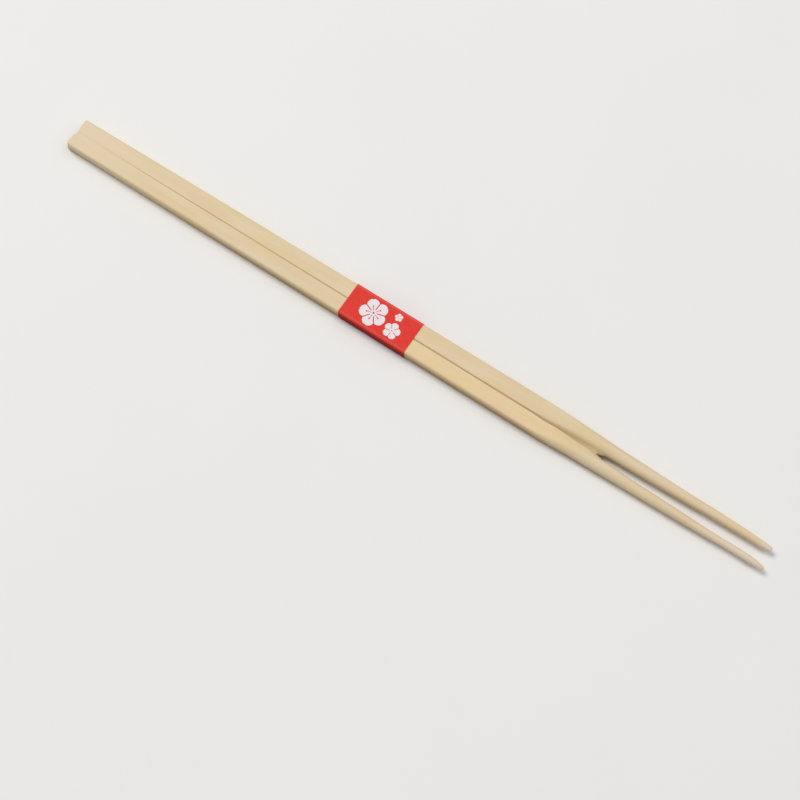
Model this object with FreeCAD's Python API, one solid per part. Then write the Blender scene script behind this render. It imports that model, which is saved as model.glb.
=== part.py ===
import FreeCAD, Part
import os, math

# Disposable twin chopsticks of bamboo in a folded paper band, in millimetres.
# The blank lies along X: heads at -X, turned tips at +X. The near half is at
# -Y, the far half at +Y, and +Z is up. The origin is under the middle of the
# whole thing, on the surface that it lies on.

# ---------------------------------------------------------------- dimensions
LENGTH = 240.0          # head to tip, the common long size of twin chopsticks
BODY_T = 4.6            # thickness of the slat
# half widths along the slat: distance from the head, distance from the middle
NEAR_WIDE = [(-2.0, 4.88), (20.0, 4.91), (60.0, 4.97), (241.0, 4.99)]
FAR_WIDE = [(-2.0, 4.88), (15.0, 5.01), (40.0, 5.17), (80.0, 5.32),
            (130.0, 5.41), (241.0, 5.44)]
EDGE_R = 0.65           # tumbled long edges
TIP_STEP = 0.75         # the far tip stops this much before the near one
HEAD_EDGE_R = 0.78      # softened top edge of the head ends
HEAD_FOOT_R = 0.42      # and bottom edge
HEAD_LEAN = 0.20        # the end cut leans out towards the foot, per mm of height
# plan outline of the two heads, from the notch between them to the outer
# side: distance from the head end, distance out from the middle
HEAD_NEAR = [(0.99, 0.0), (0.72, 0.35), (0.46, 0.75), (0.25, 1.2),
             (0.11, 1.8), (0.06, 2.6), (0.06, 3.4), (0.11, 3.95), (0.22, 4.4),
             (0.40, 4.69), (0.66, 4.84), (1.0, 4.89)]
HEAD_FAR = [(0.94, 0.0), (0.78, 0.35), (0.64, 0.75), (0.52, 1.2), (0.39, 1.8),
            (0.31, 2.5), (0.27, 3.2), (0.29, 3.8), (0.38, 4.25), (0.56, 4.6),
            (0.86, 4.80), (1.22, 4.88)]
NEAR_AXIS = -2.62       # turning axis of the near tip
FAR_AXIS = 2.96         # and of the far one

# split groove: distance from the head, half width, depth
GROOVE = [(0.0, 0.05, 0.08), (20.0, 0.08, 0.18), (60.0, 0.13, 0.45),
          (110.0, 0.17, 0.80), (165.0, 0.22, 1.20), (175.0, 0.25, 1.42),
          (187.0, 0.28, 1.62)]

# turned tips: distance from the head, radius
FAR_TIP = [(160.0, 4.05), (164.0, 3.62), (168.0, 3.28), (172.0, 2.98),
           (176.0, 2.71), (179.5, 2.50), (182.0, 2.38), (185.0, 2.27),
           (188.0, 2.15), (191.0, 2.05), (194.0, 1.98), (200.0, 1.86),
           (206.0, 1.72), (212.0, 1.59), (218.0, 1.46), (224.0, 1.36),
           (230.0, 1.23), (234.0, 1.12), (236.5, 1.04)]
NEAR_TIP = [(160.0, 3.95), (164.0, 3.47), (167.0, 3.14), (170.0, 2.84),
            (172.0, 2.64), (174.0, 2.44), (176.5, 2.23), (179.5, 2.09),
            (183.0, 2.04), (187.0, 2.01), (190.0, 1.95), (194.0, 1.81),
            (199.0, 1.67), (205.0, 1.56), (211.0, 1.45), (217.0, 1.31),
            (222.0, 1.17), (227.0, 1.07), (231.5, 1.05), (235.0, 1.03),
            (236.8, 0.96)]
# ends of the tips: distance back from the very end, radius
FAR_NOSE = [(1.55, 0.92), (0.65, 0.81), (0.17, 0.68), (0.03, 0.50), (0.0, 0.0)]
NEAR_NOSE = [(1.9, 0.84), (0.85, 0.69), (0.3, 0.57), (0.05, 0.38), (0.0, 0.0)]

# the last of the slat between the tips: distance from the head, half height
WEB = [(150.0, 1.50), (166.0, 1.20), (175.0, 1.02), (181.0, 0.90),
       (184.0, 0.82), (187.3, 0.70)]
WEB_END = 188.0         # the thin end of it, hidden between the tips
CROTCH = 185.05         # point of the crotch, seen from above
CROTCH_OUT = 187.6      # where its two sides run out on the tips
CROTCH_NEAR, CROTCH_FAR = -0.64, 0.82   # and how far apart they are there

# paper band
PAPER_T = 0.12
BAND_LEN = 23.1         # along the blank
BAND_START = 100.6      # from the head
GAP_UNDER = 0.03        # bamboo to paper below
GAP_OVER = 0.06         # and above
GAP_SIDE = 0.05         # and at the two sides
BODY_NEAR = 4.975       # half widths of the slat inside the band
BODY_FAR = 5.40
FOLD_R = 0.80           # outer radius of the paper's four folds
LAP = 5.2               # width of the glued lap underneath

X0 = -LENGTH / 2.0 + 0.25               # the heads' top edge
Z_BOT = 2.0 * PAPER_T + GAP_UNDER       # underside of the bamboo
Z_TOP = Z_BOT + BODY_T
Z_MID = 0.5 * (Z_BOT + Z_TOP)
WIDE = 7.0                              # safely outside both flanks
V = FreeCAD.Vector


def lofted_prism(side, widths):
    """One half's slat: rounded-rectangle sections joined straight."""
    wires = []
    for s, w in widths:
        y0, y1 = sorted((0.0, side * w))
        wires.append(rounded_rect(X0 + s, y0, y1, Z_BOT, Z_TOP, EDGE_R))
    return Part.makeLoft(wires, True, True)


def rounded_rect(x, y0, y1, z0, z1, r):
    """Wire at x: a rectangle with the two corners away from y = 0 rounded."""
    far = abs(y1) > abs(y0)
    a = math.radians(45.0)
    k = r * (1.0 - math.cos(a))
    if far:
        e = [Part.makeLine(V(x, y0, z0), V(x, y1 - r, z0)),
             Part.Arc(V(x, y1 - r, z0), V(x, y1 - k, z0 + k),
                      V(x, y1, z0 + r)).toShape(),
             Part.makeLine(V(x, y1, z0 + r), V(x, y1, z1 - r)),
             Part.Arc(V(x, y1, z1 - r), V(x, y1 - k, z1 - k),
                      V(x, y1 - r, z1)).toShape(),
             Part.makeLine(V(x, y1 - r, z1), V(x, y0, z1)),
             Part.makeLine(V(x, y0, z1), V(x, y0, z0))]
    else:
        e = [Part.makeLine(V(x, y1, z1), V(x, y0 + r, z1)),
             Part.Arc(V(x, y0 + r, z1), V(x, y0 + k, z1 - k),
                      V(x, y0, z1 - r)).toShape(),
             Part.makeLine(V(x, y0, z1 - r), V(x, y0, z0 + r)),
             Part.Arc(V(x, y0, z0 + r), V(x, y0 + k, z0 + k),
                      V(x, y0 + r, z0)).toShape(),
             Part.makeLine(V(x, y0 + r, z0), V(x, y1, z0)),
             Part.makeLine(V(x, y1, z0), V(x, y1, z1))]
    return Part.Wire(e)


def turned(axis_y, profile, nose, x_tip):
    """Revolved envelope of one half: wide along the body, then the taper,
    then the end of the tip at x_tip."""
    pts = [V(X0 + s, axis_y + r, Z_MID) for s, r in profile]
    pts += [V(x_tip - b, axis_y + r, Z_MID) for b, r in nose]
    curve = Part.BSplineCurve()
    curve.interpolate(pts[:-1])
    first = pts[0]
    xs = X0 - 3.0
    e = [Part.makeLine(V(xs, axis_y, Z_MID), V(xs, first.y + 4.0, Z_MID)),
         Part.makeLine(V(xs, first.y + 4.0, Z_MID),
                       V(X0 + 150.0, first.y + 4.0, Z_MID)),
         Part.makeLine(V(X0 + 150.0, first.y + 4.0, Z_MID), first),
         curve.toShape(), Part.makeLine(pts[-2], pts[-1]),
         Part.makeLine(V(x_tip, axis_y, Z_MID), V(xs, axis_y, Z_MID))]
    face = Part.Face(Part.Wire(e))
    return face.revolve(V(0, axis_y, Z_MID), V(1, 0, 0), 360.0)


def head_plan(side, outline, length):
    """Plan outline of one half, tall in Z: humped head end, round corner."""
    low = -HEAD_LEAN * (Z_TOP + 1.0)
    pts = [V(X0 + low + d, side * y, -1) for d, y in outline]
    curve = Part.BSplineCurve()
    curve.interpolate(pts)
    p2 = pts[-1]
    y_out = side * WIDE
    x1 = X0 + length
    e = [curve.toShape(), Part.makeLine(p2, V(p2.x, y_out, -1)),
         Part.makeLine(V(p2.x, y_out, -1), V(x1, y_out, -1)),
         Part.makeLine(V(x1, y_out, -1), V(x1, 0, -1)),
         Part.makeLine(V(x1, 0, -1), pts[0])]
    h = Z_TOP + 2.0
    return Part.Face(Part.Wire(e)).extrude(V(HEAD_LEAN * h, 0, h))


def head_side(length):
    """Side outline along the blank: a leaning end with its top and bottom
    edge rounded."""
    y = -WIDE
    x1 = X0 + length
    phi = math.atan(HEAD_LEAN)
    out = (-math.cos(phi), math.sin(phi))       # square to the leaning end

    def corner(r, top):
        """Three points of the rounding, going from the end's face."""
        z = Z_TOP - r if top else Z_BOT + r
        line_x = X0 - (Z_TOP - z) * HEAD_LEAN
        cx = line_x + r / math.cos(phi)
        v = (0.0, 1.0 if top else -1.0)
        m = (out[0] + v[0], out[1] + v[1])
        n = math.hypot(*m)
        return [V(cx + r * d[0], y, z + r * d[1])
                for d in (out, (m[0] / n, m[1] / n), v)]

    t = corner(HEAD_EDGE_R, True)
    b = corner(HEAD_FOOT_R, False)
    e = [Part.makeLine(b[0], t[0]),
         Part.Arc(*t).toShape(),
         Part.makeLine(t[2], V(t[2].x, y, Z_TOP + 1)),
         Part.makeLine(V(t[2].x, y, Z_TOP + 1), V(x1, y, Z_TOP + 1)),
         Part.makeLine(V(x1, y, Z_TOP + 1), V(x1, y, Z_BOT - 1)),
         Part.makeLine(V(x1, y, Z_BOT - 1), V(b[2].x, y, Z_BOT - 1)),
         Part.makeLine(V(b[2].x, y, Z_BOT - 1), b[2]),
         Part.Arc(b[2], b[1], b[0]).toShape()]
    return Part.Face(Part.Wire(e)).extrude(V(0, 2 * WIDE, 0))


def web():
    """The slat's thin remainder between the tips, up to the crotch."""
    y = -1.25
    top = [V(X0 + s, y, Z_MID + h) for s, h in WEB]
    low = [V(X0 + s, y, Z_MID - h) for s, h in reversed(WEB)]
    curve_t, curve_l = Part.BSplineCurve(), Part.BSplineCurve()
    curve_t.interpolate(top)
    curve_l.interpolate(low)
    e = [curve_t.toShape(),
         Part.Arc(top[-1], V(X0 + WEB_END, y, Z_MID), low[0]).toShape(),
         curve_l.toShape(), Part.makeLine(low[-1], top[0])]
    plate = Part.Face(Part.Wire(e)).extrude(V(0, 2.5, 0))
    x0, x1, x2 = X0 + CROTCH, X0 + CROTCH_OUT, X0 + WEB_END + 0.5
    notch = Part.makePolygon([V(x0, 0.0, -1), V(x1, CROTCH_NEAR, -1),
                              V(x2, CROTCH_NEAR, -1), V(x2, CROTCH_FAR, -1),
                              V(x1, CROTCH_FAR, -1), V(x0, 0.0, -1)])
    return plate.cut(Part.Face(notch).extrude(V(0, 0, 8.0)))


def half(side):
    """One half of the blank, square against the middle plane y = 0."""
    near = side < 0
    x_tip = X0 + LENGTH - (0.0 if near else TIP_STEP)
    body = lofted_prism(side, NEAR_WIDE if near else FAR_WIDE)
    envelope = turned(NEAR_AXIS if near else FAR_AXIS,
                      NEAR_TIP if near else FAR_TIP,
                      NEAR_NOSE if near else FAR_NOSE, x_tip)
    s = body.common(envelope.fuse(web()))
    s = s.common(head_plan(side, HEAD_NEAR if near else HEAD_FAR,
                           LENGTH + 10.0))
    return s.common(head_side(LENGTH + 10.0))


def groove(top):
    """Long V cut that gets wider and deeper towards the place where the
    tips part."""
    wires = []
    for s, w, d in GROOVE:
        x = X0 + s - (2.0 if s == 0.0 else 0.0)
        if top:
            z0, z1 = Z_TOP - d, Z_TOP + 0.4
            k = (z1 - z0) / d
        else:
            z0, z1 = Z_BOT + d, Z_BOT - 0.4
            k = (z0 - z1) / d
        tri = Part.makePolygon([V(x, 0.0, z0), V(x, -w * k, z1),
                                V(x, w * k, z1), V(x, 0.0, z0)])
        wires.append(tri)
    return Part.makeLoft(wires, True, True)


def build_blank():
    blank = half(-1).fuse(half(1)).removeSplitter()
    blank = blank.cut(groove(True)).cut(groove(False))
    solids = blank.Solids
    return solids[0] if len(solids) == 1 else blank


def band_section():
    """Closed outline of the paper in the Y-Z plane at the band's start."""
    t = PAPER_T
    x = X0 + BAND_START
    yn = -BODY_NEAR - GAP_SIDE      # inner side of the paper, near
    yf = BODY_FAR + GAP_SIDE
    zt = Z_TOP + GAP_OVER           # inner side of the top layer
    zb = Z_BOT - GAP_UNDER          # inner side of the bottom layer
    r = FOLD_R
    ri = r - t
    a = 1.0 - math.cos(math.radians(45.0))

    def arc(p, m, q):
        return Part.Arc(V(x, *p), V(x, *m), V(x, *q)).toShape()

    def line(p, q):
        return Part.makeLine(V(x, *p), V(x, *q))

    bow = 0.05                      # the sides stand out a little at mid height
    # the strip starts as the inner end of the lap, at y = +LAP/2, goes to
    # the near side, up, over the top, down the far side and back under it
    yi = LAP / 2.0                  # end of the inner layer
    yo = -LAP / 2.0                 # end of the outer layer
    st = 0.9                        # run over which the outer layer steps up
    zc = Z_MID
    outer = [
        line((yo, zb - 2 * t), (yi, zb - 2 * t)),
        line((yi, zb - 2 * t), (yi + st, zb - t)),
        line((yi + st, zb - t), (yf + t - r, zb - t)),
        arc((yf + t - r, zb - t), (yf + t - r * a, zb - t + r * a),
            (yf + t, zb - t + r)),
        arc((yf + t, zb - t + r), (yf + t + bow, zc), (yf + t, zt + t - r)),
        arc((yf + t, zt + t - r), (yf + t - r * a, zt + t - r * a),
            (yf + t - r, zt + t)),
        line((yf + t - r, zt + t), (yn - t + r, zt + t)),
        arc((yn - t + r, zt + t), (yn - t + r * a, zt + t - r * a),
            (yn - t, zt + t - r)),
        arc((yn - t, zt + t - r), (yn - t - bow, zc), (yn - t, zb - t + r)),
        arc((yn - t, zb - t + r), (yn - t + r * a, zb - t + r * a),
            (yn - t + r, zb - t)),
        line((yn - t + r, zb - t), (yo, zb - t)),
        line((yo, zb - t), (yo, zb - 2 * t)),
    ]
    zi0, zi1 = zb, zt
    inner = [
        line((yn + ri, zi0), (yi, zi0)),
        line((yi, zi0), (yf - ri, zi0)),
        arc((yf - ri, zi0), (yf - ri * a, zi0 + ri * a), (yf, zi0 + ri)),
        arc((yf, zi0 + ri), (yf + bow, zc), (yf, zi1 - ri)),
        arc((yf, zi1 - ri), (yf - ri * a, zi1 - ri * a), (yf - ri, zi1)),
        line((yf - ri, zi1), (yn + ri, zi1)),
        arc((yn + ri, zi1), (yn + ri * a, zi1 - ri * a), (yn, zi1 - ri)),
        arc((yn, zi1 - ri), (yn - bow, zc), (yn, zi0 + ri)),
        arc((yn, zi0 + ri), (yn + ri * a, zi0 + ri * a), (yn + ri, zi0)),
    ]
    return Part.Wire(outer), Part.Wire(inner)


def build_band():
    w_out, w_in = band_section()
    f = Part.Face(w_out).extrude(V(BAND_LEN, 0, 0))
    h = Part.Face(w_in).extrude(V(BAND_LEN, 0, 0))
    return f.cut(h).Solids[0]


def main():
    os.makedirs("parts", exist_ok=True)
    shapes = {"twin_chopstick_blank": build_blank(),
              "paper_band": build_band()}
    for name, s in shapes.items():
        b = s.optimalBoundingBox(False)
        print("%-22s %s solids %d valid %s volume %.1f  x %.2f %.2f  "
              "y %.3f %.3f  z %.3f %.3f"
              % (name, s.ShapeType, len(s.Solids), s.isValid(), s.Volume,
                 b.XMin, b.XMax, b.YMin, b.YMax, b.ZMin, b.ZMax))
        s.exportStep(os.path.join("parts", name + ".step"))
    return shapes


if __name__ == "__main__":
    main()
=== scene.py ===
import math

import bpy
import numpy as np
from mathutils import Matrix, Vector


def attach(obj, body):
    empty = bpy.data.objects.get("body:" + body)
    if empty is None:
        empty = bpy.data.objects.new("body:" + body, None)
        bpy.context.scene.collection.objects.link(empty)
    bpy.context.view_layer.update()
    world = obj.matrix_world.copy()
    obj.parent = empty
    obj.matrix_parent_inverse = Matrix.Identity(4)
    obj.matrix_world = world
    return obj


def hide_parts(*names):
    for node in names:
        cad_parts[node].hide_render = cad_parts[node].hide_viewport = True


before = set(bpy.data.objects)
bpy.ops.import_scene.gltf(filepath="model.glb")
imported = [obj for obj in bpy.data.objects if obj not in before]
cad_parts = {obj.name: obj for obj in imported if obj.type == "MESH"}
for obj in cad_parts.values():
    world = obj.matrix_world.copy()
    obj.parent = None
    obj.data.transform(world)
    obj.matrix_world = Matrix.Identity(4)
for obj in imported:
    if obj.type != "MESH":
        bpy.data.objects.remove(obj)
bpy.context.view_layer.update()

MM = 0.001

# ------------------------------------------------------------------ camera
# Solved from the straight edges of the photograph, 800 x 800 pixels.
cam_data = bpy.data.cameras.new("camera")
cam_data.sensor_width = 36.0
cam_data.lens = 1489.61 / 800.0 * 36.0
cam_data.clip_start, cam_data.clip_end = 0.01, 10.0
cam = bpy.data.objects.new("camera", cam_data)
bpy.context.scene.collection.objects.link(cam)
back = Vector((0.20529409, -0.2553851, 0.94479246)).normalized()
right = Vector((0.82900937, 0.55847313, -0.02917573))
right = (right - back * right.dot(back)).normalized()
up = back.cross(right)
place = Vector((97.571, -125.222, 403.116)) * MM
cam.matrix_world = Matrix(((right.x, up.x, back.x, place.x),
                           (right.y, up.y, back.y, place.y),
                           (right.z, up.z, back.z, place.z),
                           (0, 0, 0, 1)))
bpy.context.scene.camera = cam


# ------------------------------------------------------------- small tools
def lattice(ix, iy, iz, seed):
    """A fixed pseudo-random number in 0..1 for each whole-number point."""
    h = (ix.astype(np.int64) * 374761393 + iy.astype(np.int64) * 668265263
         + iz.astype(np.int64) * 2147483647 + seed * 1274126177) & 0xFFFFFFFF
    h = ((h ^ (h >> 13)) * 1103515245) & 0xFFFFFFFF
    h = ((h ^ (h >> 16)) * -1640531535) & 0xFFFFFFFF
    return (h ^ (h >> 15)).astype(np.float64) / 4294967295.0


def noise(x, y, z, seed=0):
    """Smooth value noise in -1..1."""
    x, y, z = np.broadcast_arrays(np.asarray(x, float), np.asarray(y, float),
                                  np.asarray(z, float))
    x0, y0, z0 = np.floor(x), np.floor(y), np.floor(z)
    fx, fy, fz = x - x0, y - y0, z - z0
    fx, fy, fz = (f * f * (3 - 2 * f) for f in (fx, fy, fz))
    out = 0.0
    for dx in (0, 1):
        for dy in (0, 1):
            for dz in (0, 1):
                w = ((fx if dx else 1 - fx) * (fy if dy else 1 - fy)
                     * (fz if dz else 1 - fz))
                out = out + w * lattice(x0 + dx, y0 + dy, z0 + dz, seed)
    return out * 2 - 1


def smooth_curve(table):
    """Monotone cubic through (s, value) pairs, as a function of s."""
    xs = np.array([p[0] for p in table], float)
    ys = np.array([p[1] for p in table], float)
    h = np.diff(xs)
    m = np.diff(ys) / h
    d = np.zeros_like(ys)
    d[0], d[-1] = m[0], m[-1]
    for i in range(1, len(xs) - 1):
        if m[i - 1] * m[i] > 0:
            w1, w2 = 2 * h[i] + h[i - 1], h[i] + 2 * h[i - 1]
            d[i] = (w1 + w2) / (w1 / m[i - 1] + w2 / m[i])

    def f(s):
        s = np.asarray(s, float)
        k = np.clip(np.searchsorted(xs, s) - 1, 0, len(h) - 1)
        t = (s - xs[k]) / h[k]
        lo = s < xs[0]
        hi = s > xs[-1]
        v = ((2 * t ** 3 - 3 * t ** 2 + 1) * ys[k]
             + (t ** 3 - 2 * t ** 2 + t) * h[k] * d[k]
             + (-2 * t ** 3 + 3 * t ** 2) * ys[k + 1]
             + (t ** 3 - t ** 2) * h[k] * d[k + 1])
        v = np.where(lo, ys[0] + (s - xs[0]) * d[0], v)
        return np.where(hi, ys[-1], v)
    return f


def soft_min(a, b, k):
    h = np.clip(k - np.abs(a - b), 0, None) / k
    return np.minimum(a, b) - h * h * k * 0.25


def new_mesh(name, verts, faces):
    me = bpy.data.meshes.new(name)
    me.from_pydata([tuple(v) for v in verts], [], faces)
    me.update()
    me.polygons.foreach_set("use_smooth", [True] * len(me.polygons))
    ob = bpy.data.objects.new(name, me)
    bpy.context.scene.collection.objects.link(ob)
    return ob


# ------------------------------------------------ the bamboo blank, in mm
LENGTH = 240.0
X0 = -LENGTH / 2 + 0.25
Z_BOT = 0.27
HALF_T = 2.3
Z_MID = Z_BOT + HALF_T
EDGE_R = 0.65
HEAD_EDGE_R, HEAD_FOOT_R, HEAD_LEAN = 0.78, 0.42, 0.20
HEAD_NEAR = [(0.99, 0.0), (0.72, 0.35), (0.46, 0.75), (0.25, 1.2),
             (0.11, 1.8), (0.06, 2.6), (0.05, 3.4), (0.08, 3.95), (0.17, 4.4),
             (0.32, 4.69), (0.56, 4.84), (0.9, 4.89)]
HEAD_FAR = [(0.94, 0.0), (0.78, 0.35), (0.64, 0.75), (0.52, 1.2), (0.39, 1.8),
            (0.31, 2.5), (0.27, 3.2), (0.27, 3.8), (0.33, 4.25), (0.46, 4.6),
            (0.70, 4.80), (1.05, 4.88)]
GROOVE = [(0.0, 0.05, 0.02), (7.0, 0.06, 0.06), (20.0, 0.08, 0.18),
          (60.0, 0.13, 0.45), (110.0, 0.17, 0.80), (165.0, 0.22, 1.20),
          (175.0, 0.25, 1.76), (180.0, 0.27, 1.96), (187.0, 0.28, 1.98)]
ENDS = {
    "near": [(239.15, 0.69), (239.45, 0.635), (239.7, 0.57), (239.84, 0.50),
             (239.93, 0.41), (239.98, 0.30), (240.0, 0.16)],
    "far": [(238.6, 0.81), (238.86, 0.755), (239.05, 0.69), (239.16, 0.61),
            (239.22, 0.50), (239.25, 0.36), (239.25, 0.18)]}
WEB_END, NOTCH_X = 185.05, 187.6
NOTCH = {"near": 0.64, "far": 0.82}
N_WEB, N_WALL, N_FACE, N_CORNER, N_SIDE = 6, 5, 15, 7, 11

groove_w = smooth_curve([(g[0], g[1]) for g in GROOVE])
groove_d = smooth_curve([(g[0], g[2]) for g in GROOVE])
# for each half: turning axis, half width, radius of the turned envelope,
# plan of the head, and how far the tip strays outward from its axis
HALF = {
    "near": {
        "sign": -1.0, "axis": 2.62,
        "wide": smooth_curve([(-2, 4.88), (20, 4.91), (60, 4.97), (241, 4.99)]),
        "radius": smooth_curve([
            (140, 6.5), (152, 5.0), (160, 3.95), (164, 3.47), (167, 3.14),
            (170, 2.84), (172, 2.64), (174, 2.44), (176.5, 2.23),
            (179.5, 2.09), (183, 2.04), (187, 2.01), (190, 1.95),
            (194, 1.81), (199, 1.67), (205, 1.56), (211, 1.45), (217, 1.31),
            (222, 1.17), (227, 1.07), (231.5, 1.05), (235, 1.03),
            (236.8, 0.96), (238.1, 0.84), (239.15, 0.69)]),
        "plan": smooth_curve([(y, x) for x, y in HEAD_NEAR]),
        "stray": smooth_curve([
            (0, 0), (184.7, 0), (190, -0.05), (198, 0.05), (221, 0.08),
            (231, -0.09), (236, -0.02), (238, 0.13), (240, 0.28)])},
    "far": {
        "sign": 1.0, "axis": 2.96,
        "wide": smooth_curve([(-2, 4.88), (15, 5.01), (40, 5.17), (80, 5.32),
                              (130, 5.41), (241, 5.44)]),
        "radius": smooth_curve([
            (140, 6.7), (152, 5.1), (160, 4.05), (164, 3.62), (168, 3.28),
            (172, 2.98), (176, 2.71), (179.5, 2.50), (182, 2.38),
            (185, 2.27), (188, 2.15), (191, 2.05), (194, 1.98), (200, 1.86),
            (206, 1.72), (212, 1.59), (218, 1.46), (224, 1.36), (230, 1.23),
            (234, 1.12), (236.5, 1.04), (237.7, 0.92), (238.6, 0.81)]),
        "plan": smooth_curve([(y, x) for x, y in HEAD_FAR]),
        "stray": smooth_curve([
            (0, 0), (184.7, 0), (193, -0.05), (203, -0.05), (214, -0.02),
            (220, 0.09), (227, 0.09), (232, 0.07), (236, -0.05),
            (239, 0.0)])}}


def head_end(y, z, side):
    """Where the head's end surface lies, behind the very front."""
    plan = HALF[side]["plan"](np.clip(y, 0, None))
    r = np.where(z > 0, HEAD_EDGE_R, HEAD_FOOT_R)
    over = np.clip(np.abs(z) - (HALF_T - r), 0, r)
    edge = r - np.sqrt(np.clip(r ** 2 - over ** 2, 0, None))
    return np.sqrt(plan ** 2 + edge ** 2) - HEAD_LEAN * (HALF_T - z)


def section(s, side):
    """One half's closed outline at distance s from the head: (y, z) with y
    counted outward from the middle plane and z from mid height. The first
    points run up the middle plane, or up the crotch behind it."""
    k = HALF[side]
    axis, wide, r = k["axis"], float(k["wide"](s)), float(k["radius"](s))
    seed = 11 if side == "near" else 23
    rc = [EDGE_R * (1 + 0.12 * float(noise(s / 9.0, c * 7.3, 0.5, seed)))
          for c in range(2)]
    w = float(groove_w(s)) * (1 + 0.15 * float(noise(s / 4.0, 0.2, 3.1, 5)))
    h = HALF_T - float(groove_d(s)) * (1 + 0.06 * float(
        noise(s / 6.0, 1.2, 8.1, 6)))
    e = 0.05
    pts = []

    def run(a, b, n):
        for i in range(n):
            t = i / n
            pts.append((a[0] + (b[0] - a[0]) * t, a[1] + (b[1] - a[1]) * t))

    def wall(sign, outward):
        a, b, c = (0.0, sign * h), (w, sign * (HALF_T - e)), (w + e, sign * HALF_T)
        if outward:
            run(a, b, N_WALL - 1)
            run(b, c, 1)
        else:
            run(c, b, 1)
            run(b, a, N_WALL - 1)

    def corner(sign, cr, rising):
        for i in range(N_CORNER):
            a = math.pi / 2 * i / N_CORNER
            if not rising:
                a = math.pi / 2 - a
            pts.append((wide - cr + cr * math.cos(a),
                        sign * (HALF_T - cr + cr * math.sin(a))))

    run((0.0, -h), (0.0, h), N_WEB)
    wall(1, True)
    run((w + e, HALF_T), (wide - rc[0], HALF_T), N_FACE)
    corner(1, rc[0], False)
    run((wide, HALF_T - rc[0]), (wide, -(HALF_T - rc[1])), N_SIDE)
    corner(-1, rc[1], True)
    run((wide - rc[1], -HALF_T), (w + e, -HALF_T), N_FACE)
    wall(-1, False)
    p = np.array(pts)
    # the turned envelope round the half's own axis
    v = p - (axis, 0.0)
    d = np.hypot(v[:, 0], v[:, 1])
    k_soft = 0.30 - 0.28 * min(max((s - 182.0) / 6.0, 0.0), 1.0)
    d2 = soft_min(d, np.full_like(d, r), k_soft)
    if s > 188:
        d2 = np.full_like(d, r)
    web = np.arange(len(p)) <= N_WEB
    q = (axis, 0.0) + v * (d2 / d)[:, None]
    if s <= WEB_END:
        q[web] = p[web]
        # a soft fillet where the last of the slat meets the round tip
        for a, b, c in ((N_WEB, N_WEB + 1, N_WEB + 2),
                        (0, len(p) - 1, len(p) - 2)):
            t = min(max((s - 168.0) / 8.0, 0.0), 1.0) * 0.5
            q[b] = q[b] * (1 - t) + 0.5 * (q[a] + q[c]) * t
    elif s < NOTCH_X:
        # the two cut sides of the pointed crotch
        t = (s - WEB_END) / (NOTCH_X - WEB_END)
        cut = web & (q[:, 0] > NOTCH[side] * t)
        q[cut, 0] = NOTCH[side] * t
        q[cut, 1] = p[cut, 1] * (1 - t) + q[cut, 1] * t
    if side == "near" and 166.0 < s < 187.3:
        # the near half keeps a slanting flat beside the groove, down to an
        # edge over the groove's bottom
        k_on = min((s - 166.0) / 7.0, 1.0, (187.3 - s) / 5.3)
        k_on = k_on * k_on * (3 - 2 * k_on)
        inner = max(w, NOTCH[side] * (s - WEB_END) / (NOTCH_X - WEB_END) + 0.03)
        for up in (1, -1):
            at = (lambda j: N_WEB + j) if up > 0 else (lambda j: len(q) - j)
            y1, z1 = q[at(10)]
            slope = (q[at(11)][1] - z1) / (q[at(11)][0] - y1)
            for j in range(1, 10):
                y = inner + (y1 - inner) * (j - 1) / 9.0
                z = z1 - slope * (y1 - y) - up * 0.05 * ((y1 - y) / y1) ** 2
                q[at(j)] = q[at(j)] * (1 - k_on) + np.array((y, z)) * k_on
    return q, web


def relief(s, q, side, web):
    """Shallow marks of the fibres and of the turning, always inward."""
    x = np.full(len(q), s)
    seed = 40 if side == "near" else 60
    y, z = q[:, 0] + (0 if side == "near" else 17.0), q[:, 1]
    mid = noise(x / 14.0, y / 1.2, z / 1.2, seed + 1)
    wave = noise(x / 6.5, y / 2.8, z / 2.8, seed + 2)
    turned = min(max((s - 172.0) / 14.0, 0.0), 1.0)
    amount = (0.006 * (1 + mid) + (0.010 + 0.035 * turned) * (1 + wave) * 0.5)
    amount = amount * min(1.0, (LENGTH - s) / 3.0)
    v = q - (HALF[side]["axis"], 0.0)
    d = np.hypot(v[:, 0], v[:, 1])
    out = q - v / d[:, None] * amount[:, None]
    if s <= NOTCH_X:
        out[web] = q[web]
    out[:, 0] += float(HALF[side]["stray"](s))
    return out


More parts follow.
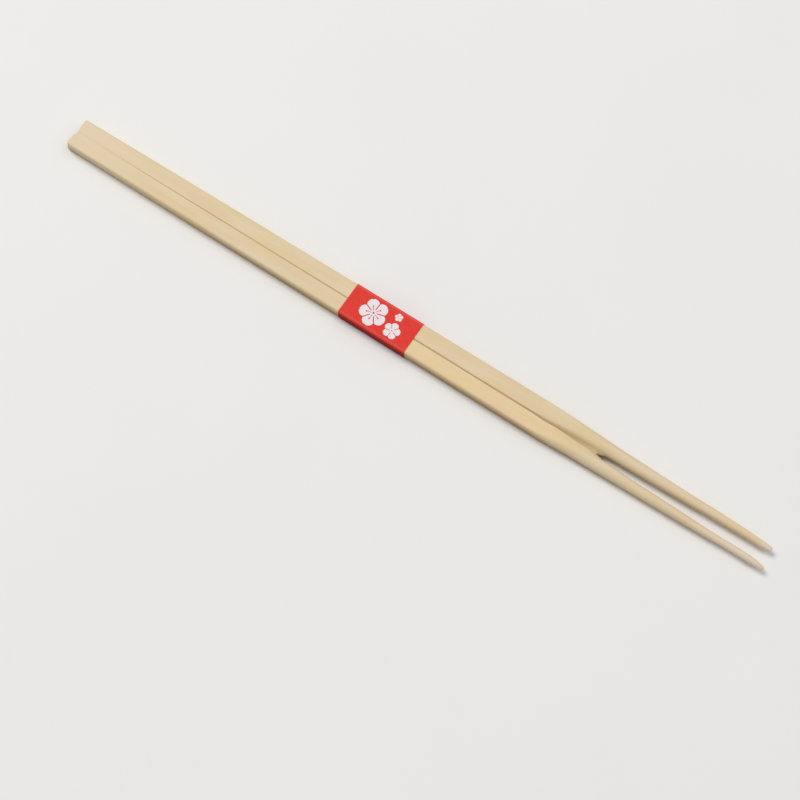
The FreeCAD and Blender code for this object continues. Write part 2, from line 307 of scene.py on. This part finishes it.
def build_blank():
    stations = list(np.concatenate([
        np.linspace(0, 4, 9)[:-1], np.arange(4, 160, 0.70),
        np.arange(160, 178, 0.40), np.arange(178, 184.9, 0.26),
        [WEB_END, 185.12, 185.24], np.arange(185.4, 187.5, 0.22),
        [NOTCH_X], np.arange(187.84, 190, 0.26), np.arange(190, 233, 0.42),
        np.arange(233, 238.2, 0.24)]))
    k_web = stations.index(WEB_END)
    verts, faces = [], []
    shared = {}
    hard = set()
    for side in ("near", "far"):
        sign, axis = HALF[side]["sign"], HALF[side]["axis"]
        near = side == "near"
        rings = []

        def put(f):
            faces.append(tuple(f) if near else tuple(f[::-1]))

        def add(ring_x, q, web=None, k=None):
            ids = []
            for j in range(len(q)):
                key = (k, j) if web is not None and web[j] else None
                if key is not None and key in shared:
                    ids.append(shared[key])
                    continue
                verts.append((ring_x[j], sign * q[j, 0], Z_MID + q[j, 1]))
                ids.append(len(verts) - 1)
                if key is not None:
                    shared[key] = ids[-1]
            return ids

        q0, web0 = section(0.0, side)
        first = relief(0.0, q0, side, web0)
        for k, s in enumerate(stations):
            q, web = section(s, side)
            q = relief(s, q, side, web)
            if s < 4.0:
                xe = head_end(first[:, 0], first[:, 1], side)
                x = X0 + xe + (s / 4.0) * (4.0 - xe)
                # both halves use the same notch line
                x[web] = X0 + 0.96 + (s / 4.0) * (4.0 - 0.96) - (
                    HEAD_LEAN * (HALF_T - q[web, 1]) * (1 - s / 4.0))
            else:
                x = np.full(len(q), X0 + s)
            rings.append(add(x, q, web if k <= k_web else None, k))
        n = len(rings[0])
        # the end of the tip
        tail = ENDS[side]
        end_q, _ = section(237.0, side)
        v = end_q - (axis, 0.0)
        unit = v / np.hypot(v[:, 0], v[:, 1])[:, None]
        start = stations[-1] + 0.24
        extra = [(s, float(HALF[side]["radius"](s)))
                 for s in np.arange(start, tail[0][0] - 0.05, 0.24)]
        for s, r in extra + tail:
            stray = float(HALF[side]["stray"](s))
            q = (axis + stray, 0.0) + unit * r
            rings.append(add(np.full(n, X0 + s), q))
        verts.append((X0 + tail[-1][0],
                      sign * (axis + float(HALF[side]["stray"](tail[-1][0]))),
                      Z_MID))
        tip = len(verts) - 1
        # long faces; those inside the slat are left out
        for k in range(len(rings) - 1):
            a, b = rings[k], rings[k + 1]
            # hard edges: the groove's bottom and the near half's flat edge
            if k + 1 <= k_web:
                hard.update(((a[0], b[0]), (a[N_WEB], b[N_WEB])))
                if near and stations[k] > 169.0:
                    hard.update(((a[n - 1], b[n - 1]),
                                 (a[N_WEB + 1], b[N_WEB + 1])))
            for j in range(n):
                j2 = (j + 1) % n
                if j < N_WEB and k + 1 <= k_web:
                    continue
                put((a[j], a[j2], b[j2], b[j]))
        for j in range(n):
            put((rings[-1][j], rings[-1][(j + 1) % n], tip))
        # the head's end: rings that close in on the middle of the half
        scales = [0.994, 0.98, 0.955, 0.92, 0.87, 0.80, 0.71, 0.60, 0.45,
                  0.28, 0.12]
        prev = rings[0]
        c = np.array((axis, 0.0))
        for q_scale in scales:
            q = c + (first - c) * q_scale
            x = X0 + head_end(q[:, 0], q[:, 1], side)
            x = x + 0.010 * noise(q[:, 0] / 0.5, q[:, 1] / 0.5, 2.2, 9) + 0.010
            ids = add(x, q)
            for j in range(n):
                j2 = (j + 1) % n
                put((ids[j], ids[j2], prev[j2], prev[j]))
            prev = ids
        verts.append((X0 + float(head_end(c[:1], c[1:], side)[0]) + 0.010,
                      sign * axis, Z_MID))
        mid = len(verts) - 1
        for j in range(n):
            put((mid, prev[(j + 1) % n], prev[j]))
    used = sorted(set(i for f in faces for i in f))
    remap = {old: new for new, old in enumerate(used)}
    verts = [tuple(c * MM for c in verts[i]) for i in used]
    faces = [tuple(remap[i] for i in f) for f in faces]
    ob = new_mesh("bamboo_twin", verts, faces)
    hard = set(tuple(sorted((remap[i], remap[j]))) for i, j in hard)
    for e in ob.data.edges:
        if e.key in hard:
            e.use_edge_sharp = True
    return ob


# ------------------------------------------------- the paper band, in mm
PAPER_T = 0.12
BAND_LEN = 23.1
BAND_START = 100.6
GAP_UNDER, GAP_OVER, GAP_SIDE = 0.03, 0.06, 0.05
BODY_NEAR, BODY_FAR = 4.975, 5.40
FOLD_R = 0.80
LAP = 5.2


def band_path():
    """Middle line of the strip's section, from the lap's inner end round to
    its outer end: (y, z, fold), where fold counts 0..1 along each corner."""
    t = PAPER_T
    r = FOLD_R - t / 2
    yn = -BODY_NEAR - GAP_SIDE - t / 2
    yf = BODY_FAR + GAP_SIDE + t / 2
    zt = Z_BOT + 2 * HALF_T + GAP_OVER + t / 2
    zb = Z_BOT - GAP_UNDER - t / 2 + 0.002
    zo = t / 2
    pts = []

    def line(a, b, step):
        n = max(1, int(round(math.hypot(b[0] - a[0], b[1] - a[1]) / step)))
        for i in range(n):
            u = i / n
            pts.append((a[0] + (b[0] - a[0]) * u, a[1] + (b[1] - a[1]) * u, 0.0))

    def arc(cy, cz, a0, a1, n):
        for i in range(n):
            a = math.radians(a0 + (a1 - a0) * i / n)
            # strongest where the corner turns out of the top or the bottom
            w = max(0.0, abs(math.sin(a))) ** 2
            pts.append((cy + r * math.cos(a), cz + r * math.sin(a), w))

    line((LAP / 2, zb), (yn + r, zb), 0.22)
    arc(yn + r, zb + r, 270, 180, 10)
    line((yn, zb + r), (yn, zt - r), 0.2)
    arc(yn + r, zt - r, 180, 90, 10)
    line((yn + r, zt), (yf - r, zt), 0.15)
    arc(yf - r, zt - r, 90, 0, 10)
    line((yf, zt - r), (yf, zb + r), 0.2)
    arc(yf - r, zb + r, 0, -90, 10)
    line((yf - r, zb), (LAP / 2 + 0.9, zb), 0.22)
    line((LAP / 2 + 0.9, zb), (LAP / 2, zo), 0.15)
    line((LAP / 2, zo), (-LAP / 2, zo), 0.22)
    pts.append((-LAP / 2, zo, 0.0))
    return np.array(pts)


def build_band():
    path = band_path()
    n = len(path)
    nx = 72
    xs = np.linspace(0, 1, nx + 1)
    # a little denser at the two cut edges
    xs = xs - 0.03 * np.sin(2 * np.pi * xs)
    z_top = Z_BOT + 2 * HALF_T + GAP_OVER + PAPER_T / 2
    tang = np.gradient(path[:, :2], axis=0)
    tang /= np.linalg.norm(tang, axis=1)[:, None]
    # going up the near side and over, the outside is to the left
    normal = np.stack([-tang[:, 1], tang[:, 0]], 1)
    arc_len = np.concatenate([[0], np.cumsum(np.linalg.norm(
        np.diff(path[:, :2], axis=0), axis=1))])
    side_near = np.clip((-path[:, 0] - (BODY_NEAR - 0.5)) / 0.6, 0, 1)
    side_far = np.clip((path[:, 0] - (BODY_FAR - 0.5)) / 0.6, 0, 1)
    grid = np.zeros((nx + 1, n, 2, 3))
    for i, u in enumerate(xs):
        x = X0 + BAND_START + BAND_LEN * u
        y, z = path[:, 0].copy(), path[:, 1].copy()
        top = np.clip((z - (z_top - 0.3)) / 0.3, 0, 1)
        # paper that isn't pulled tight: soft waves over the top, a sag over
        # the groove towards the tips' side, a faint ridge along the folds
        keep = np.clip((BODY_NEAR - 0.7 - np.abs(y - 0.2)) / 1.4, 0, 1)
        wave = (0.022 * (1 + noise(x / 8.0, y / 3.0, 1.0, 70))
                + 0.006 * (1 + noise(x / 2.8, y / 1.6, 2.0, 71)))
        loose = 0.35 + 0.65 * u ** 2
        z = z + top * keep * (wave * loose - 0.036)
        z = z - top * np.exp(-(y / 0.75) ** 2) * 0.045 * (0.3 + 0.7 * u ** 1.5)
        z = z + top * (0.014 * np.exp(-((y + 3.95) / 0.28) ** 2) - 0.008)
        # the sides stand out a little at mid height, more at the tips' side
        side_h = np.clip(1 - ((z - Z_MID) / (HALF_T + 0.1)) ** 2, 0, 1)
        bow_n = 0.030 + 0.020 * noise(x / 6.0, z / 3.0, 3.0, 72)
        bow_f = 0.028 + 0.015 * noise(x / 6.0, z / 3.0, 4.0, 73)
        y = y - side_near * (side_h * bow_n - 0.030 * (1 - u))
        y = y + side_far * (side_h * bow_f - 0.012 * (1 - u))
        # the cut edges aren't perfectly straight
        wob = 0.05 * (noise(arc_len / 5.0, 0.5, 0.5 + round(u), 74) + 1) / 2
        wob = wob * abs(2 * u - 1) ** 6 * (-1 if u > 0.5 else 1)
        for side, d in ((0, PAPER_T / 2), (1, -PAPER_T / 2)):
            grid[i, :, side, 0] = x + wob
            grid[i, :, side, 1] = y + normal[:, 0] * d
            grid[i, :, side, 2] = z + normal[:, 1] * d
    index = np.arange((nx + 1) * n * 2).reshape(nx + 1, n, 2)
    faces = []
    for i in range(nx):
        for j in range(n - 1):
            a, b, c, d = (index[i, j, 0], index[i, j + 1, 0],
                          index[i + 1, j + 1, 0], index[i + 1, j, 0])
            faces.append((a, d, c, b))
            a, b, c, d = (index[i, j, 1], index[i, j + 1, 1],
                          index[i + 1, j + 1, 1], index[i + 1, j, 1])
            faces.append((a, b, c, d))
    n_long = len(faces)
    for j in range(n - 1):
        faces.append((index[0, j, 0], index[0, j + 1, 0],
                      index[0, j + 1, 1], index[0, j, 1]))
        faces.append((index[nx, j, 0], index[nx, j, 1],
                      index[nx, j + 1, 1], index[nx, j + 1, 0]))
    for i in range(nx):
        faces.append((index[i, 0, 0], index[i, 0, 1],
                      index[i + 1, 0, 1], index[i + 1, 0, 0]))
        faces.append((index[i, n - 1, 0], index[i + 1, n - 1, 0],
                      index[i + 1, n - 1, 1], index[i, n - 1, 1]))
    ob = new_mesh("red_paper_band", grid.reshape(-1, 3) * MM,
                  [tuple(int(q) for q in f) for f in faces])
    me = ob.data
    # how strongly each point is folded, for worn ink and a painted highlight on the
    # folds
    fw = np.broadcast_to(path[:, 2][None, :, None], (nx + 1, n, 2)).reshape(-1)
    att = me.attributes.new("fold", "FLOAT", "POINT")
    att.data.foreach_set("value", fw.astype(np.float32))
    # the four cut sides of the strip are hard edges
    sharp = set()
    for f in list(me.polygons)[n_long:]:
        sharp.update(f.edge_keys)
    for e in me.edges:
        if e.key in sharp:
            e.use_edge_sharp = True
    return ob


# -------------------------------------------------------------- materials
class Graph:
    def __init__(self, name):
        self.mat = bpy.data.materials.new(name)
        self.mat.use_nodes = True
        self.t = self.mat.node_tree
        self.t.nodes.clear()
        self.out = self.t.nodes.new("ShaderNodeOutputMaterial")
        self.bsdf = self.t.nodes.new("ShaderNodeBsdfPrincipled")
        self.link(self.bsdf.outputs[0], self.out.inputs[0])

    def link(self, a, b):
        self.t.links.new(a, b)

    def put(self, value, socket):
        if hasattr(value, "is_output"):
            self.link(value, socket)
        else:
            socket.default_value = value

    def math(self, op, a, b=0.0, c=0.0, clamp=False):
        n = self.t.nodes.new("ShaderNodeMath")
        n.operation = op
        n.use_clamp = clamp
        self.put(a, n.inputs[0])
        self.put(b, n.inputs[1])
        self.put(c, n.inputs[2])
        return n.outputs[0]

    def vmul(self, v, k):
        n = self.t.nodes.new("ShaderNodeVectorMath")
        n.operation = "MULTIPLY"
        self.put(v, n.inputs[0])
        n.inputs[1].default_value = k
        return n.outputs[0]

    def vadd(self, a, b):
        n = self.t.nodes.new("ShaderNodeVectorMath")
        n.operation = "ADD"
        self.put(a, n.inputs[0])
        self.put(b, n.inputs[1])
        return n.outputs[0]

    def position(self):
        n = self.t.nodes.new("ShaderNodeTexCoord")
        return self.vmul(n.outputs["Object"], (1000.0, 1000.0, 1000.0))

    def split(self, v):
        n = self.t.nodes.new("ShaderNodeSeparateXYZ")
        self.link(v, n.inputs[0])
        return n.outputs

    def join(self, x, y, z):
        n = self.t.nodes.new("ShaderNodeCombineXYZ")
        for v, i in zip((x, y, z), n.inputs):
            self.put(v, i)
        return n.outputs[0]

    def noise(self, v, detail=2.0, rough=0.5, scale=1.0, colour=False):
        n = self.t.nodes.new("ShaderNodeTexNoise")
        self.link(v, n.inputs["Vector"])
        n.inputs["Scale"].default_value = scale
        n.inputs["Detail"].default_value = detail
        n.inputs["Roughness"].default_value = rough
        return n.outputs["Color" if colour else "Fac"]

    def voronoi(self, v, feature="F1"):
        n = self.t.nodes.new("ShaderNodeTexVoronoi")
        n.feature = feature
        self.link(v, n.inputs["Vector"])
        n.inputs["Scale"].default_value = 1.0
        return n

    def ramp(self, v, lo, hi, a=0.0, b=1.0, smooth=True):
        n = self.t.nodes.new("ShaderNodeMapRange")
        n.interpolation_type = "SMOOTHSTEP" if smooth else "LINEAR"
        n.clamp = True
        self.put(v, n.inputs["Value"])
        n.inputs["From Min"].default_value = lo
        n.inputs["From Max"].default_value = hi
        n.inputs["To Min"].default_value = a
        n.inputs["To Max"].default_value = b
        return n.outputs["Result"]

    def mix(self, f, a, b, blend="MIX"):
        n = self.t.nodes.new("ShaderNodeMix")
        n.data_type = "RGBA"
        n.blend_type = blend
        self.put(f, n.inputs[0])
        self.put(a, n.inputs[6])
        self.put(b, n.inputs[7])
        return n.outputs[2]

    def grey(self, v):
        return self.join(v, v, v)

    def bump(self, height, distance, strength=1.0, normal=None):
        n = self.t.nodes.new("ShaderNodeBump")
        self.put(height, n.inputs["Height"])
        n.inputs["Distance"].default_value = distance
        n.inputs["Strength"].default_value = strength
        if normal is not None:
            self.link(normal, n.inputs["Normal"])
        return n.outputs[0]


def srgb(r, g, b):
    out = []
    for c in (r, g, b):
        c /= 255.0
        out.append(c / 12.92 if c <= 0.04045 else ((c + 0.055) / 1.055) ** 2.4)
    return (*out, 1.0)


CREAM = srgb(230, 210, 176)
STRAW = srgb(227, 206, 163)
BLUSH = srgb(229, 202, 168)


def bamboo_material():
    g = Graph("bamboo")
    p = g.position()
    # the fibres drift slowly sideways along the stick
    drift = g.noise(g.vmul(p, (0.011, 0.10, 0.10)), 1.0, colour=True)
    drift = g.vmul(g.vadd(drift, (-0.5, -0.5, -0.5)), (0.0, 0.9, 0.9))
    q = g.vadd(p, drift)
    # broad soft patches: cream, straw yellow and a little pink
    patch = g.noise(g.vmul(q, (0.055, 0.26, 0.12)), 1.5, 0.5)
    base = g.mix(g.ramp(patch, 0.36, 0.64), CREAM, STRAW)
    blush = g.noise(g.vmul(g.vadd(q, (31.0, 7.0, 3.0)), (0.050, 0.30, 0.14)),
                    1.5, 0.5)
    base = g.mix(g.ramp(blush, 0.48, 0.70, 0.0, 0.75), base, BLUSH)
    # paler where the heads and the tips were sanded
    sx = g.split(p)[0]
    base = g.mix(g.ramp(sx, X0 + 45.0, X0 + 4.0, 0.0, 0.55), base,
                 srgb(232, 213, 184))
    near = g.ramp(g.split(p)[1], 0.5, -0.5)
    pale = g.math("MULTIPLY", near, g.ramp(sx, X0 + 212.0, X0 + 234.0, 0.0, 0.80))
    base = g.mix(pale, base, srgb(234, 216, 194))
    pale = g.math("MULTIPLY", g.math("SUBTRACT", 1.0, near),
                  g.ramp(sx, X0 + 234.5, X0 + 238.8, 0.0, 0.85))
    base = g.mix(pale, base, srgb(232, 219, 200))
    # the near half's top is a little warmer from the middle to the crotch
    warm = g.math("MULTIPLY", near, g.ramp(sx, X0 + 96.0, X0 + 122.0))
    warm = g.math("MULTIPLY", warm, g.ramp(
        g.split(p)[2], Z_MID + 1.9, Z_MID + 2.28))
    warm = g.math("MULTIPLY", warm, g.ramp(sx, X0 + 192.0, X0 + 172.0))
    base = g.mix(warm, base, (1.070, 1.028, 0.995, 1.0), "MULTIPLY")
    # fine streaks
    fine = g.noise(g.vmul(q, (0.035, 3.6, 3.6)), 3.0, 0.6)
    streak = g.ramp(fine, 0.28, 0.72, 0.972, 1.022, smooth=False)
    # fibre bundles: long threads, cut across at the ends
    vor = g.voronoi(g.vmul(q, (0.012, 1.55, 1.55)))
    core = g.ramp(vor.outputs["Distance"], 0.34, 0.10)
    cellv = g.split(vor.outputs["Color"])[0]
    core = g.math("MULTIPLY", core, g.ramp(cellv, 0.15, 0.9, 0.35, 1.0))
    geo = g.t.nodes.new("ShaderNodeNewGeometry")
    nx = g.math("ABSOLUTE", g.split(geo.outputs["Normal"])[0])
    end = g.ramp(nx, 0.55, 0.9)
    amount = g.math("MULTIPLY", core,
                    g.math("ADD", g.math("MULTIPLY", end, 0.50), 0.085))
    col = g.mix(amount, base, srgb(170, 132, 84))
    col = g.mix(1.0, col, g.grey(streak), "MULTIPLY")
    # end grain drinks in more and looks a little greyer
    col = g.mix(g.math("MULTIPLY", end, 0.22), col, srgb(188, 168, 138))
    # a few pale brown flecks, long and thin
    fleck = g.noise(g.vmul(q, (0.16, 2.2, 2.2)), 2.0, 0.5)
    fleck = g.ramp(fleck, 0.70, 0.80)
    col = g.mix(g.math("MULTIPLY", fleck, 0.16), col, srgb(166, 128, 80))
    # painted shade: a little brown darkening on the groove's lips, beside the groove
    px, py, pz = g.split(p)
    groove_shade = g.ramp(g.math("ABSOLUTE", py), 0.55, 0.12, 0.0, 0.10)
    groove_shade = g.math("MULTIPLY", groove_shade, g.ramp(px, X0 + 20.0, X0 + 90.0, 0.25, 1.0))
    groove_shade = g.math("MULTIPLY", groove_shade, g.ramp(px, X0 + 176.0, X0 + 166.0))
    col = g.mix(groove_shade, col, srgb(178, 142, 98))
    # painted shade: a little darker and greyer down between the two halves at the crotch
    crotch_shade = g.ramp(g.math("ABSOLUTE", py), 0.90, 0.45)
    crotch_shade = g.math("MULTIPLY", crotch_shade, g.ramp(
        g.math("ABSOLUTE", g.math("SUBTRACT", pz, Z_MID)), 1.55, 1.0))
    crotch_shade = g.math("MULTIPLY", crotch_shade, g.ramp(px, X0 + 166.0, X0 + 174.0))
    crotch_shade = g.math("MULTIPLY", crotch_shade, g.ramp(px, X0 + 198.0, X0 + 187.0))
    col = g.mix(crotch_shade, col, srgb(247, 248, 254), "MULTIPLY")
    # painted light: paler colour inside the hairline groove, lifting its shade
    inside = g.ramp(g.math("ABSOLUTE", py), 0.28, 0.18)
    inside = g.math("MULTIPLY", inside, g.ramp(
        g.math("ABSOLUTE", g.math("SUBTRACT", pz, Z_MID)),
        HALF_T - 0.02, HALF_T - 0.16))
    inside = g.math("MULTIPLY", inside, g.ramp(px, X0 + 30.0, X0 + 80.0))
    inside = g.math("MULTIPLY", inside, g.ramp(px, X0 + 178.0, X0 + 158.0))
    col = g.mix(inside, col, srgb(240, 222, 190))
    # painted shade: the slat's sides are a little warmer and darker towards the foot
    foot_shade = g.ramp(pz, Z_MID + 1.3, Z_BOT + 0.5)
    foot_shade = g.math("MULTIPLY", foot_shade, g.ramp(px, X0 + 190.0, X0 + 160.0, 0.35, 1.0))
    col = g.mix(foot_shade, col, srgb(227, 214, 194), "MULTIPLY")
    foot_shade = g.ramp(pz, Z_MID + 2.0, Z_BOT + 1.4)
    foot_shade = g.math("MULTIPLY", foot_shade, g.ramp(px, X0 + 20.0, X0 + 85.0))
    foot_shade = g.math("MULTIPLY", foot_shade, g.ramp(px, X0 + 200.0, X0 + 168.0, 0.20, 1.0))
    col = g.mix(foot_shade, col, srgb(226, 212, 187), "MULTIPLY")
    g.put(col, g.bsdf.inputs["Base Color"])
    rough = g.math("ADD", g.math("MULTIPLY", fine, 0.20), 0.54)
    rough = g.math("ADD", rough, g.math("MULTIPLY", end, 0.12))
    g.put(rough, g.bsdf.inputs["Roughness"])
    g.bsdf.inputs["Specular IOR Level"].default_value = 0.12
    h = g.math("SUBTRACT", g.math("MULTIPLY", fine, 0.7), g.math("MULTIPLY", core, 0.45))
    g.put(g.bump(h, 0.00003, 0.22), g.bsdf.inputs["Normal"])
    return g.mat


def petal_field(g, x, y, cx, cy, radius, turn, stamens):
    """1 inside a five-petalled blossom with a small stamen pattern cut out,
    0 outside, with soft printed edges. x and y are in millimetres."""
    dx = g.math("SUBTRACT", x, cx)
    dy = g.math("SUBTRACT", y, cy)
    rad = g.math("SQRT", g.math("ADD", g.math("MULTIPLY", dx, dx),
                                g.math("MULTIPLY", dy, dy)))
    ang = g.math("ARCTAN2", dy, dx)
    ang = g.math("ADD", ang, turn)
    # fold the angle into one petal, -36..36 degrees
    step = 2 * math.pi / 5
    k = g.math("ROUND", g.math("DIVIDE", ang, step))
    loc = g.math("SUBTRACT", ang, g.math("MULTIPLY", k, step))
    px = g.math("MULTIPLY", rad, g.math("COSINE", loc))
    py = g.math("MULTIPLY", rad, g.math("SINE", loc))
    soft = 0.035
    # petal: round, centred 0.60 R out
    ex = g.math("SUBTRACT", px, 0.60 * radius)
    dist = g.math("SQRT", g.math("ADD", g.math("MULTIPLY", ex, ex),
                                 g.math("MULTIPLY", g.math("MULTIPLY", py, py), 0.93)))
    petal = g.ramp(dist, 0.405 * radius + soft, 0.405 * radius - soft)
    # a small notch in the petal's outer edge
    nx_ = g.math("SUBTRACT", px, 1.05 * radius)
    notch = g.math("ADD", g.math("ABSOLUTE", g.math("MULTIPLY", py, 1.5)),
                   g.math("MULTIPLY", nx_, -1.0))
    cut = g.ramp(notch, 0.115 * radius - soft, 0.115 * radius + soft)
    petal = g.math("MULTIPLY", petal, cut)
    heart = g.ramp(rad, 0.40 * radius + soft, 0.40 * radius - soft)
    shape = g.math("MAXIMUM", petal, heart)
    # gaps between petals
    gap = g.math("ABSOLUTE", g.math("SUBTRACT", g.math("ABSOLUTE", loc), math.pi / 5))
    gap = g.math("MULTIPLY", gap, rad)
    line = g.ramp(gap, 0.035 * radius - soft * 0.4, 0.035 * radius + soft * 0.8)
    far = g.ramp(rad, 0.20 * radius, 0.30 * radius)
    line = g.math("MAXIMUM", line, g.math("SUBTRACT", 1.0, far))
    shape = g.math("MULTIPLY", shape, line)
    # stamens: a thin red thread and a dot in each petal
    thread = g.ramp(g.math("ABSOLUTE", py), 0.018 * radius + soft * 0.8,
                    0.018 * radius - soft * 0.2)
    thread = g.math("MULTIPLY", thread, g.ramp(rad, 0.14 * radius, 0.17 * radius))
    thread = g.math("MULTIPLY", thread, g.ramp(rad, 0.47 * radius, 0.44 * radius))
    bx = g.math("SUBTRACT", px, 0.49 * radius)
    dot = g.math("SQRT", g.math("ADD", g.math("MULTIPLY", bx, bx),
                                g.math("MULTIPLY", py, py)))
    dot = g.ramp(dot, 0.055 * radius + soft * 0.6, 0.055 * radius - soft * 0.4)
    eye = g.ramp(rad, 0.075 * radius + soft, 0.075 * radius - soft)
    marks = eye
    if stamens:
        marks = g.math("MAXIMUM", g.math("MAXIMUM", thread, dot), eye)
    return g.math("MULTIPLY", shape, g.math("SUBTRACT", 1.0, marks))


def paper_material():
    g = Graph("band_paper")
    p = g.position()
    x, y, z = g.split(p)
    mottle = g.noise(g.vmul(p, (0.9, 0.9, 0.9)), 3.0, 0.6)
    grain = g.noise(g.vmul(p, (5.5, 7.0, 7.0)), 2.0, 0.6)
    red = g.mix(g.ramp(mottle, 0.3, 0.7), srgb(227, 61, 52), srgb(231, 70, 60))
    red = g.mix(g.ramp(grain, 0.45, 0.8, 0.0, 0.10), red, srgb(232, 84, 74))
    # worn ink and a painted highlight: lighter red along the folds, most where they turn
    # out of the top and the bottom
    fold = g.t.nodes.new("ShaderNodeAttribute")
    fold.attribute_name = "fold"
    worn_ink_and_highlight = g.math("MULTIPLY", fold.outputs["Fac"],
                  g.ramp(grain, 0.35, 0.70, 0.30, 0.60))
    red = g.mix(worn_ink_and_highlight, red, srgb(240, 108, 98))
    # painted shade: the red is deeper and darker on the parts folded down
    red = g.mix(g.ramp(z, 4.62, 3.9), red, srgb(177, 22, 17))
    red = g.mix(g.ramp(z, 4.0, 1.2), red, srgb(136, 9, 7))
    # white print on the top only
    mid_x = X0 + BAND_START + BAND_LEN / 2
    big = petal_field(g, x, y, mid_x - 2.6, 0.25, 4.35, 0.35, True)
    small = petal_field(g, x, y, mid_x + 4.9, -1.45, 2.6, 1.0, False)
    bud = petal_field(g, x, y, mid_x + 4.4, 3.05, 1.25, 0.6, False)
    small = g.math("MAXIMUM", small, bud)
    top = g.ramp(z, 4.72, 4.80)
    ink = g.math("MULTIPLY", g.math("MAXIMUM", big, small), top)
    ink = g.math("MULTIPLY", ink, g.ramp(grain, 0.18, 0.40, 0.90, 1.0))
    col = g.mix(ink, red, srgb(238, 233, 235))
    # bare paper shows at the cut edges
    geo = g.t.nodes.new("ShaderNodeNewGeometry")
    nx = g.math("ABSOLUTE", g.split(geo.outputs["True Normal"])[0])
    col = g.mix(g.ramp(nx, 0.7, 0.95, 0.0, 0.55), col, srgb(232, 178, 168))
    g.put(col, g.bsdf.inputs["Base Color"])
    rough = g.math("ADD", g.math("MULTIPLY", grain, 0.20), 0.55)
    g.put(rough, g.bsdf.inputs["Roughness"])
    g.bsdf.inputs["Specular IOR Level"].default_value = 0.08
    h = g.math("ADD", g.math("MULTIPLY", grain, 0.6), g.math("MULTIPLY", mottle, 0.8))
    g.put(g.bump(h, 0.00004, 0.35), g.bsdf.inputs["Normal"])
    return g.mat


def floor_material():
    g = Graph("floor")
    p = g.position()
    n = g.noise(g.vmul(p, (0.02, 0.02, 0.02)), 3.0, 0.5)
    col = g.mix(g.ramp(n, 0.3, 0.7), srgb(241, 240, 238), srgb(242, 241, 239))
    g.put(col, g.bsdf.inputs["Base Color"])
    g.bsdf.inputs["Roughness"].default_value = 0.8
    g.bsdf.inputs["Specular IOR Level"].default_value = 0.2
    return g.mat


# ------------------------------------------------------------- assembling
blank = build_blank()
blank.data.materials.append(bamboo_material())
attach(blank, "root")
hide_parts("twin_chopstick_blank")

band = build_band()
band.data.materials.append(paper_material())
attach(band, "root")
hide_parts("paper_band")

# ---------------------------------------------------------- floor, lights
s = 6.0
floor = new_mesh("floor", [(-s, -s, -0.00001), (s, -s, -0.00001),
                           (s, s, -0.00001), (-s, s, -0.00001)], [(0, 1, 2, 3)])
floor.data.materials.append(floor_material())


def area_light(name, place, aim, size, energy, colour):
    data = bpy.data.lights.new(name, "AREA")
    data.shape = "DISK"
    data.size = size
    data.energy = energy
    data.color = colour
    ob = bpy.data.objects.new(name, data)
    bpy.context.scene.collection.objects.link(ob)
    ob.location = place
    ob.rotation_mode = "QUATERNION"
    ob.rotation_quaternion = (Vector(aim) - Vector(place)).to_track_quat("-Z", "Y")


area_light("key", (-0.9, 0.15, 1.75), (0, 0, 0), 1.0, 21.6, (1.0, 0.985, 0.96))
area_light("fill", (1.1, 0.5, 1.6), (0, 0, 0), 1.6, 8.2, (1.0, 1.0, 1.0))
world = bpy.data.worlds.new("studio")
bpy.context.scene.world = world
world.use_nodes = True
world.node_tree.nodes["Background"].inputs[0].default_value = (0.95, 0.96, 1.0, 1)
world.node_tree.nodes["Background"].inputs[1].default_value = 0.34
bpy.context.scene.view_settings.view_transform = "Standard"
